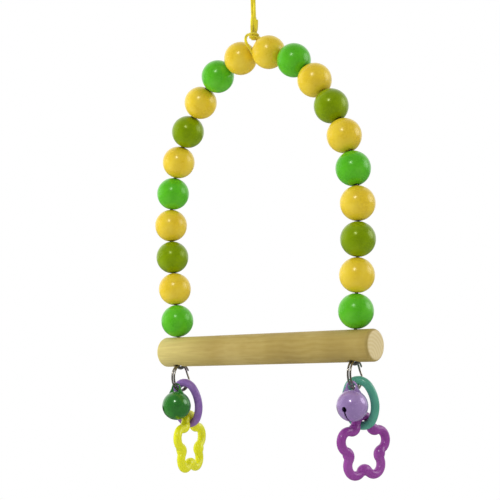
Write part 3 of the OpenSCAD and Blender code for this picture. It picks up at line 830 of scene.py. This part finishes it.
def cordFinish(c, look):
    # yarn = sine of length and girth, each times its own slant and added, pushed about by noise
    material, tree, inputs = newFinish("yellowCord")
    place, parts = objectPlace(tree), flowPlace(tree)
    slant = sums(tree, "ADD", sums(tree, "MULTIPLY", parts[0], look["slant"][0]),
                 sums(tree, "MULTIPLY", parts[1], look["slant"][1]))
    fuzz = noise(tree, place, look["fuzz"], look["fuzzDetail"])
    yarn = sums(tree, "SINE", sums(tree, "MULTIPLY_ADD", fuzz, look["fuzzPush"], slant))
    tone = toneOf(tree, place, c, look)
    shadow = ranged(tree, yarn, (-1.0, 1.0), look["shadow"])
    feed(tree, inputs["Base Color"], between(tree, shadow, tone["Colour"], linear(c["deep"])))
    roughened(tree, inputs, fuzz, look)
    inputs["Sheen Weight"].default_value = look["sheen"]
    raised(tree, inputs, sums(tree, "MULTIPLY_ADD", yarn, look["yarnHigh"], fuzz), look)
    return material


finishes["cord"] = cordFinish(cordYarn, cordLook)

# Metals: dull wire, bright split rings and the pellets inside the bells.
metals = {
    "wire": {"colour": (168, 166, 158), "deep": (120, 118, 110), "pale": (200, 198, 192),
             "rough": (0.4, 0.6)},
    "ring_steel": {"colour": (176, 170, 156), "deep": (112, 100, 82), "pale": (216, 212, 202),
                   "rough": (0.2, 0.4)},
    "pellet_steel": {"colour": (120, 120, 122), "deep": (84, 82, 80), "pale": (150, 150, 152),
                     "rough": (0.35, 0.5)},
}
metalLook = {"tone": (240.0, 0.6), "knocks": (520.0, 0.7), "metal": 1.0, "roughFrom": (0.3, 1.2),
             "bump": (0.2, 0.03)}


def metalFinish(slot, metal, look):
    material, tree, inputs = newFinish(slot + "Metal")
    place = objectPlace(tree)
    tone, knocks = toneOf(tree, place, metal, look), knocksOf(tree, place, look)
    feed(tree, inputs["Base Color"], tone["Colour"])
    inputs["Metallic"].default_value = look["metal"]
    mask = sums(tree, "ADD", knocks["Mask"], tone["Mask"])
    roughened(tree, inputs, mask, {**look, "rough": metal["rough"]})
    raised(tree, inputs, knocks["Height"], look)
    return material


finishes.update({slot: metalFinish(slot, metal, metalLook) for slot, metal in metals.items()})

# Bells: paint with fine metal flakes over pressed steel, under a clear coat.
bellPaints = {
    "bell_green": {"colour": (38, 118, 32), "deep": (20, 90, 20), "pale": (64, 148, 52)},
    "bell_lilac": {"colour": (156, 127, 182), "deep": (124, 95, 152), "pale": (186, 160, 206)},
}
bellLook = {"tone": (130.0, 0.5), "knocks": (330.0, 0.5), "flakes": 5200.0, "sparkFrom": (0.0, 0.5),
            "spark": (0.35, 0.0), "scraped": 0.35, "metal": 0.15, "coat": 0.8, "coatRough": 0.06,
            "roughFrom": (0.0, 0.5), "rough": (0.24, 0.42), "bump": (0.12, 0.05)}


def bellFinish(slot, paint, look):
    material, tree, inputs = newFinish(slot + "Coat")
    place = objectPlace(tree)
    tone, knocks = toneOf(tree, place, paint, look), knocksOf(tree, place, look)
    flakes = put(tree, "ShaderNodeTexVoronoi", {"Vector": place, "Scale": look["flakes"]})
    spark = ranged(tree, flakes.outputs["Distance"], look["sparkFrom"], look["spark"])
    flecked = between(tree, spark, tone["Colour"], linear(paint["pale"]))
    scraped = sums(tree, "MULTIPLY", knocks["Mask"], look["scraped"])
    feed(tree, inputs["Base Color"], between(tree, scraped, flecked, linear(paint["deep"])))
    inputs["Metallic"].default_value = look["metal"]
    inputs["Coat Weight"].default_value = look["coat"]
    inputs["Coat Roughness"].default_value = look["coatRough"]
    roughened(tree, inputs, knocks["Mask"], look)
    raised(tree, inputs, sums(tree, "ADD", knocks["Height"], tone["Mask"]), look)
    return material


finishes.update({slot: bellFinish(slot, paint, bellLook) for slot, paint in bellPaints.items()})

# Moulded plastic: a fine skin, a parting line along both edges of the bar, small scratches.
plastics = {
    "plastic_violet": {"colour": (130, 95, 164), "deep": (88, 58, 124), "pale": (152, 120, 186),
                       "thick": link["thick"]},
    "plastic_teal": {"colour": (82, 158, 134), "deep": (54, 124, 102), "pale": (124, 188, 166),
                     "thick": link["thick"]},
    "plastic_lemon": {"colour": (220, 220, 20), "deep": (196, 190, 4), "pale": (234, 236, 76),
                      "thick": link["starThick"]},
    "plastic_purple": {"colour": (144, 62, 148), "deep": (106, 36, 112), "pale": (176, 104, 180),
                       "thick": link["starThick"]},
}
plasticLook = {"tone": (75.0, 0.3), "knocks": (130.0, 0.12), "skin": 620.0, "skinDetail": 2.0,
               "line": (0.0, 0.035), "lineShare": 0.3, "scraped": 0.2, "roughFrom": (0.3, 1.0),
               "rough": (0.22, 0.4), "skinHigh": 0.1, "lineHigh": 0.6, "bump": (0.14, 0.05)}


def plasticFinish(slot, plastic, look):
    material, tree, inputs = newFinish(slot + "Moulded")
    place = objectPlace(tree)
    tone, knocks = toneOf(tree, place, plastic, look), knocksOf(tree, place, look)
    skin = noise(tree, place, look["skin"], look["skinDetail"])
    # the parting lines run a quarter and three quarters of the way round the girth
    halves = 2 / (math.pi * plastic["thick"] * mm)
    share = sums(tree, "FRACT", sums(tree, "MULTIPLY_ADD", flowPlace(tree)[1], halves, 0.5))
    off = sums(tree, "ABSOLUTE", sums(tree, "SUBTRACT", share, 0.5))
    line = ranged(tree, off, look["line"], (1.0, 0.0))
    lined = sums(tree, "MULTIPLY", line, look["lineShare"])
    marked = between(tree, lined, tone["Colour"], linear(plastic["deep"]))
    scraped = sums(tree, "MULTIPLY", knocks["Mask"], look["scraped"])
    feed(tree, inputs["Base Color"], between(tree, scraped, marked, linear(plastic["pale"])))
    roughened(tree, inputs, sums(tree, "ADD", knocks["Mask"], tone["Mask"]), look)
    ridge = sums(tree, "MULTIPLY_ADD", line, look["lineHigh"], knocks["Height"])
    raised(tree, inputs, sums(tree, "MULTIPLY_ADD", skin, look["skinHigh"], ridge), look)
    return material


finishes.update({slot: plasticFinish(slot, plastic, plasticLook)
                 for slot, plastic in plastics.items()})


def dress(piece, slot):
    piece.data.materials.clear()
    piece.data.materials.append(finishes[slot])


for piece in cordPieces:
    dress(piece, "cord")
dress(wirePiece, "wire")
for piece in ringPieces:
    dress(piece, "ring_steel")
for piece, slot in beadPieces + linkPieces:
    dress(piece, slot)
for part in frame["record"]["subparts"]:
    dress(frame["nodes"][part["node"]], part["material_slot"])
print("finishes on", len(finishes), "slots")

# Studio: pale floor, a white room that is darker towards the photograph's side, soft round lamps.
# The room's strength goes from "side" to "front" over the directions in "edge" where it lights the
# pieces, and by the values ending in "Seen" where shiny pieces mirror it. The left lamp lights the
# pieces and isn't mirrored in them.
studio = {
    "floor": -0.36, "floorSize": 12.0, "floorTone": 0.85, "floorSeen": 0.2,
    "side": 0.85, "front": 0.34, "edge": (0.1, 0.9),
    "sideSeen": 1.0, "frontSeen": 0.14, "edgeSeen": (-0.7, 0.05),
    "middle": (0, 0, -0.16),
    "lamps": {
        "keyLamp": {"spot": (0.3, -0.75, 0.35), "size": 0.16, "power": 2.05, "mirrored": True},
        "leftLamp": {"spot": (-0.55, -0.4, 0.0), "size": 0.4, "power": 2.8, "mirrored": False},
        "rightLamp": {"spot": (0.75, 0.55, 0.15), "size": 0.6, "power": 2.4, "mirrored": True},
    },
}
white = (1, 1, 1, 1)


def blended(tree, share, first, second):
    # the first shader where share is 0, the second where it is 1
    return put(tree, "ShaderNodeMixShader",
               {0: share, 1: first.outputs[0], 2: second.outputs[0]}).outputs[0]


def makeFloor(s):
    half, z = s["floorSize"] / 2, s["floor"]
    mesh = bpy.data.meshes.new("paleFloor")
    mesh.from_pydata([(-half, -half, z), (half, -half, z), (half, half, z), (-half, half, z)],
                     [], [(0, 1, 2, 3)])
    floor = bpy.data.objects.new("paleFloor", mesh)
    bpy.context.scene.collection.objects.link(floor)
    material = bpy.data.materials.new("paleFloor")
    material.use_nodes = True
    tree = material.node_tree
    tree.nodes.clear()
    # for the camera the floor runs on into the white backdrop, and shiny pieces see a greyer floor
    light = tree.nodes.new("ShaderNodeLightPath").outputs
    tone = s["floorTone"]
    matt = put(tree, "ShaderNodeBsdfDiffuse", {"Color": (tone, tone, tone, 1)})
    glow = ranged(tree, light["Is Camera Ray"], (0.0, 1.0), (s["floorSeen"], 1.0))
    bright = put(tree, "ShaderNodeEmission", {"Color": white, "Strength": glow})
    seen = sums(tree, "MAXIMUM", light["Is Camera Ray"], light["Is Glossy Ray"])
    put(tree, "ShaderNodeOutputMaterial", {0: blended(tree, seen, matt, bright)})
    mesh.materials.append(material)


def makeWorld(s):
    world = bpy.data.worlds.new("paleRoom")
    bpy.context.scene.world = world
    world.use_nodes = True
    tree = world.node_tree
    tree.nodes.clear()
    # how far a direction points back along the photograph's view, from -1 to 1
    way = tree.nodes.new("ShaderNodeTexCoord").outputs["Generated"]
    back = put(tree, "ShaderNodeVectorMath", {0: way, 1: cameraSet["back"]},
               operation="DOT_PRODUCT").outputs["Value"]
    lit = ranged(tree, back, s["edge"], (s["side"], s["front"]))
    mirrored = ranged(tree, back, s["edgeSeen"], (s["sideSeen"], s["frontSeen"]))
    light = tree.nodes.new("ShaderNodeLightPath").outputs
    strength = ranged(tree, light["Is Glossy Ray"], (0.0, 1.0), (lit, mirrored))
    room = put(tree, "ShaderNodeBackground", {"Color": white, "Strength": strength})
    backdrop = put(tree, "ShaderNodeBackground", {"Color": white, "Strength": 1.0})
    seen = sums(tree, "MAXIMUM", light["Is Camera Ray"], light["Is Transmission Ray"])
    put(tree, "ShaderNodeOutputWorld", {0: blended(tree, seen, room, backdrop)})


def makeLamp(name, lamp, target):
    data = bpy.data.lights.new(name, "AREA")
    data.shape = "DISK"
    data.size = lamp["size"]
    data.energy = lamp["power"]
    made = bpy.data.objects.new(name, data)
    back = unitRows(np.array(lamp["spot"], float) - np.array(target, float))
    right = unitRows(np.cross((0, 0, 1), back))
    made.matrix_world = turnedTo(right, np.cross(back, right), back, lamp["spot"])
    made.visible_glossy = lamp["mirrored"]
    bpy.context.scene.collection.objects.link(made)


makeFloor(studio)
makeWorld(studio)
for name, lamp in studio["lamps"].items():
    makeLamp(name, lamp, studio["middle"])
bpy.context.scene.view_settings.view_transform = "Standard"
print("studio made")
